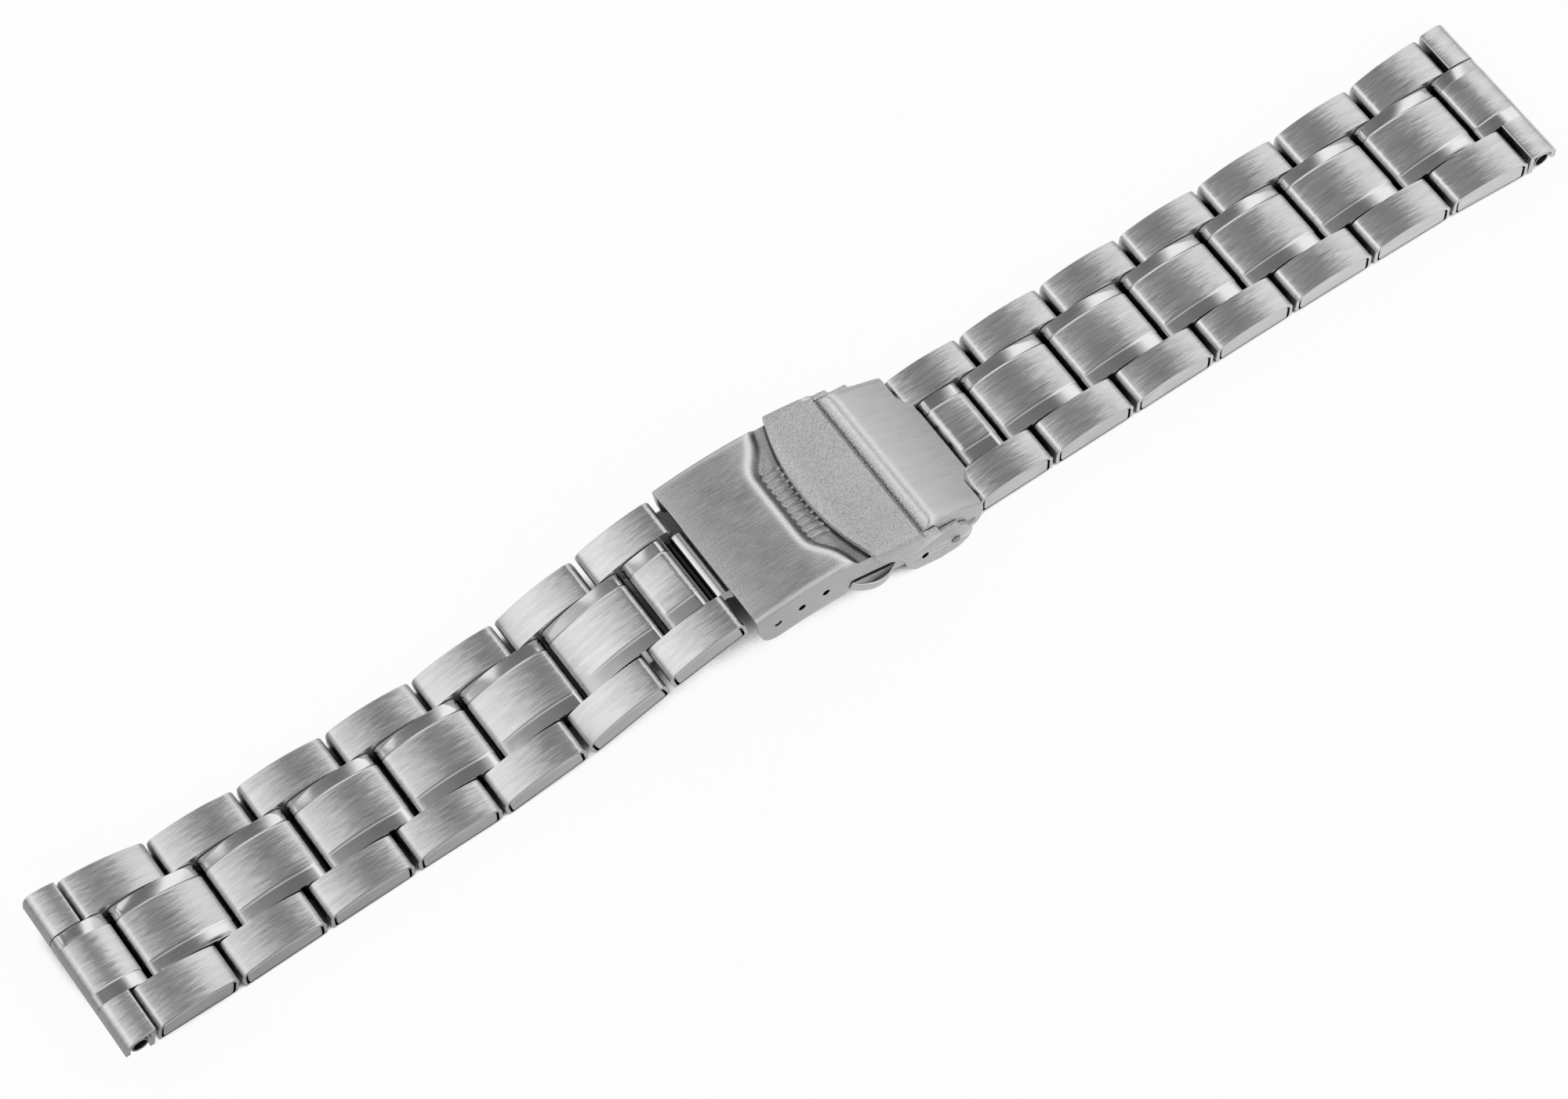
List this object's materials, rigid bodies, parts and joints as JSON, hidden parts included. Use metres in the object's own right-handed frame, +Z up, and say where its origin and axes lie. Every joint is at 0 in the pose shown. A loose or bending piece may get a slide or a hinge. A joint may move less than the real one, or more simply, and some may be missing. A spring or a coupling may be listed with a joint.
{
  "type": "link watch bracelet",
  "caption": "Straight metal link watch bracelet with lug end pieces, fold-over clasp with side push buttons and a hinged safety bar.",
  "frame": {"origin": "floor level under the middle of the bracelet's length and width", "axes": "+X along the bracelet from the left lug end to the right one, +Y across it, +Z up, away from the wrist"},
  "size_m": [0.1646, 0.0194, 0.0094],
  "materials": {
    "brushed_steel": "brushed along the bracelet",
    "brushed_polished_steel": "brushed panel between polished strips",
    "blasted_steel": "fine matte blasted",
    "blade_steel": "plain rolled sheet",
    "polished_steel": "polished",
    "pin_steel": "turned",
    "spring_steel": "drawn wire"
  },
  "bodies": {
    "clasp_cover": {"clasp_cover": "brushed_steel", "clasp_cover_pins": "pin_steel", "clasp_bar_tube": "blade_steel", "clasp_bar_spring": "spring_steel"},
    "left_row_7": {"left_row_7_outer_links": "brushed_steel", "left_row_7_pins": "pin_steel", "left_row_7_centre_link": "brushed_polished_steel"},
    "left_row_6": {"left_row_6_outer_links": "brushed_steel", "left_row_6_pins": "pin_steel", "left_row_6_centre_link": "brushed_polished_steel"},
    "left_row_5": {"left_row_5_outer_links": "brushed_steel", "left_row_5_pins": "pin_steel", "left_row_5_centre_link": "brushed_polished_steel"},
    "left_row_4": {"left_row_4_outer_links": "brushed_steel", "left_row_4_pins": "pin_steel", "left_row_4_centre_link": "brushed_polished_steel"},
    "left_row_3": {"left_row_3_outer_links": "brushed_steel", "left_row_3_pins": "pin_steel", "left_row_3_centre_link": "brushed_polished_steel"},
    "left_row_2": {"left_row_2_outer_links": "brushed_steel", "left_row_2_pins": "pin_steel", "left_row_2_centre_link": "brushed_polished_steel"},
    "left_row_1": {"left_row_1_outer_links": "brushed_steel", "left_row_1_pins": "pin_steel", "left_row_1_centre_link": "brushed_polished_steel"},
    "left_end_piece": {"left_end_piece": "brushed_steel", "left_end_tube": "blade_steel"},
    "right_row_7": {"right_row_7_outer_links": "brushed_steel", "right_row_7_pins": "pin_steel", "right_row_7_centre_link": "brushed_polished_steel"},
    "right_row_6": {"right_row_6_outer_links": "brushed_steel", "right_row_6_pins": "pin_steel", "right_row_6_centre_link": "brushed_polished_steel"},
    "right_row_5": {"right_row_5_outer_links": "brushed_steel", "right_row_5_pins": "pin_steel", "right_row_5_centre_link": "brushed_polished_steel"},
    "right_row_4": {"right_row_4_outer_links": "brushed_steel", "right_row_4_pins": "pin_steel", "right_row_4_centre_link": "brushed_polished_steel"},
    "right_row_3": {"right_row_3_outer_links": "brushed_steel", "right_row_3_pins": "pin_steel", "right_row_3_centre_link": "brushed_polished_steel"},
    "right_row_2": {"right_row_2_outer_links": "brushed_steel", "right_row_2_pins": "pin_steel", "right_row_2_centre_link": "brushed_polished_steel"},
    "right_row_1": {"right_row_1_outer_links": "brushed_steel", "right_row_1_pins": "pin_steel", "right_row_1_centre_link": "brushed_polished_steel"},
    "right_end_piece": {"right_end_piece": "brushed_steel", "right_end_tube": "blade_steel"},
    "middle_blade": {"middle_blade": "blade_steel"},
    "bottom_blade": {"bottom_blade": "blade_steel", "blade_pin": "pin_steel", "button_spring": "spring_steel"},
    "safety_bar": {"safety_bar": "blasted_steel"},
    "push_button_near": {"push_button_near": "polished_steel"},
    "push_button_far": {"push_button_far": "polished_steel"},
    "clasp_bar_tip_near": {"clasp_bar_tip_near": "pin_steel"},
    "clasp_bar_tip_far": {"clasp_bar_tip_far": "pin_steel"}
  },
  "joints": [
    {"name": "left_half_pivot", "type": "hinge", "parent": "clasp_cover", "child": "left_row_7", "pos_m": [-0.01082, 0, 0.00632], "axis": [0, -1, 0], "range_deg": [-3, 45]},
    {"name": "left_row_6_pivot", "type": "hinge", "parent": "left_row_7", "child": "left_row_6", "pos_m": [-0.02107, 0, 0.00583], "axis": [0, -1, 0], "range_deg": [-14.5, 20.5]},
    {"name": "left_row_5_pivot", "type": "hinge", "parent": "left_row_6", "child": "left_row_5", "pos_m": [-0.03023, 0, 0.00295], "axis": [0, -1, 0], "range_deg": [-0.86, 34.14]},
    {"name": "left_row_4_pivot", "type": "hinge", "parent": "left_row_5", "child": "left_row_4", "pos_m": [-0.03973, 0, 0.00155], "axis": [0, -1, 0], "range_deg": [-1.64, 33.36]},
    {"name": "left_row_3_pivot", "type": "hinge", "parent": "left_row_4", "child": "left_row_3", "pos_m": [-0.04933, 0, 0.00155], "axis": [0, -1, 0], "range_deg": [-10, 25]},
    {"name": "left_row_2_pivot", "type": "hinge", "parent": "left_row_3", "child": "left_row_2", "pos_m": [-0.05893, 0, 0.00155], "axis": [0, -1, 0], "range_deg": [-10, 25]},
    {"name": "left_row_1_pivot", "type": "hinge", "parent": "left_row_2", "child": "left_row_1", "pos_m": [-0.06853, 0, 0.00155], "axis": [0, -1, 0], "range_deg": [-0.5, 34.5]},
    {"name": "left_end_piece_pivot", "type": "hinge", "parent": "left_row_1", "child": "left_end_piece", "pos_m": [-0.07785, 0, 0.00311], "axis": [0, -1, 0], "range_deg": [-10, 25]},
    {"name": "right_row_6_pivot", "type": "hinge", "parent": "right_row_7", "child": "right_row_6", "pos_m": [0.02039, 0, 0.00155], "axis": [0, 1, 0], "range_deg": [-10, 25]},
    {"name": "right_row_5_pivot", "type": "hinge", "parent": "right_row_6", "child": "right_row_5", "pos_m": [0.02999, 0, 0.00155], "axis": [0, 1, 0], "range_deg": [-10, 25]},
    {"name": "right_row_4_pivot", "type": "hinge", "parent": "right_row_5", "child": "right_row_4", "pos_m": [0.03959, 0, 0.00155], "axis": [0, 1, 0], "range_deg": [-10, 25]},
    {"name": "right_row_3_pivot", "type": "hinge", "parent": "right_row_4", "child": "right_row_3", "pos_m": [0.04919, 0, 0.00155], "axis": [0, 1, 0], "range_deg": [-10, 25]},
    {"name": "right_row_2_pivot", "type": "hinge", "parent": "right_row_3", "child": "right_row_2", "pos_m": [0.05879, 0, 0.00155], "axis": [0, 1, 0], "range_deg": [-10, 25]},
    {"name": "right_row_1_pivot", "type": "hinge", "parent": "right_row_2", "child": "right_row_1", "pos_m": [0.06839, 0, 0.00155], "axis": [0, 1, 0], "range_deg": [-10, 25]},
    {"name": "right_end_piece_pivot", "type": "hinge", "parent": "right_row_1", "child": "right_end_piece", "pos_m": [0.07784, 0, 0.00155], "axis": [0, 1, 0], "range_deg": [-10, 25]},
    {"name": "middle_blade_pivot", "type": "hinge", "parent": "clasp_cover", "child": "middle_blade", "pos_m": [0.0114, 0, 0.00215], "axis": [0, -1, 0], "range_deg": [0, 170]},
    {"name": "bottom_blade_pivot", "type": "hinge", "parent": "middle_blade", "child": "bottom_blade", "pos_m": [-0.0033, 0, 0.0065], "axis": [0, 1, 0], "range_deg": [0, 170]},
    {"name": "right_half_pivot", "type": "hinge", "parent": "bottom_blade", "child": "right_row_7", "pos_m": [0.01439, 0, 0.0013], "axis": [0, 1, 0], "range_deg": [-10, 25]},
    {"name": "safety_bar_pivot", "type": "hinge", "parent": "clasp_cover", "child": "safety_bar", "pos_m": [0.00915, 0, 0.00193], "axis": [0, 1, 0], "range_deg": [0, 110]},
    {"name": "push_button_near_slide", "type": "slide", "parent": "bottom_blade", "child": "push_button_near", "axis": [0, 1, 0], "range_m": [0, 0.0008], "stiffness_N_per_m": 300, "springref_m": -0.0005},
    {"name": "clasp_bar_tip_near_slide", "type": "slide", "parent": "clasp_cover", "child": "clasp_bar_tip_near", "axis": [0, 1, 0], "range_m": [0, 0.001], "stiffness_N_per_m": 400, "springref_m": -0.0005},
    {"name": "push_button_far_slide", "type": "slide", "parent": "bottom_blade", "child": "push_button_far", "axis": [0, -1, 0], "range_m": [0, 0.0008], "stiffness_N_per_m": 300, "springref_m": -0.0005},
    {"name": "clasp_bar_tip_far_slide", "type": "slide", "parent": "clasp_cover", "child": "clasp_bar_tip_far", "axis": [0, -1, 0], "range_m": [0, 0.001], "stiffness_N_per_m": 400, "springref_m": -0.0005}
  ],
  "couplings": [
    {"joint": "bottom_blade_pivot", "follows": "middle_blade_pivot", "ratio": 1}
  ]
}
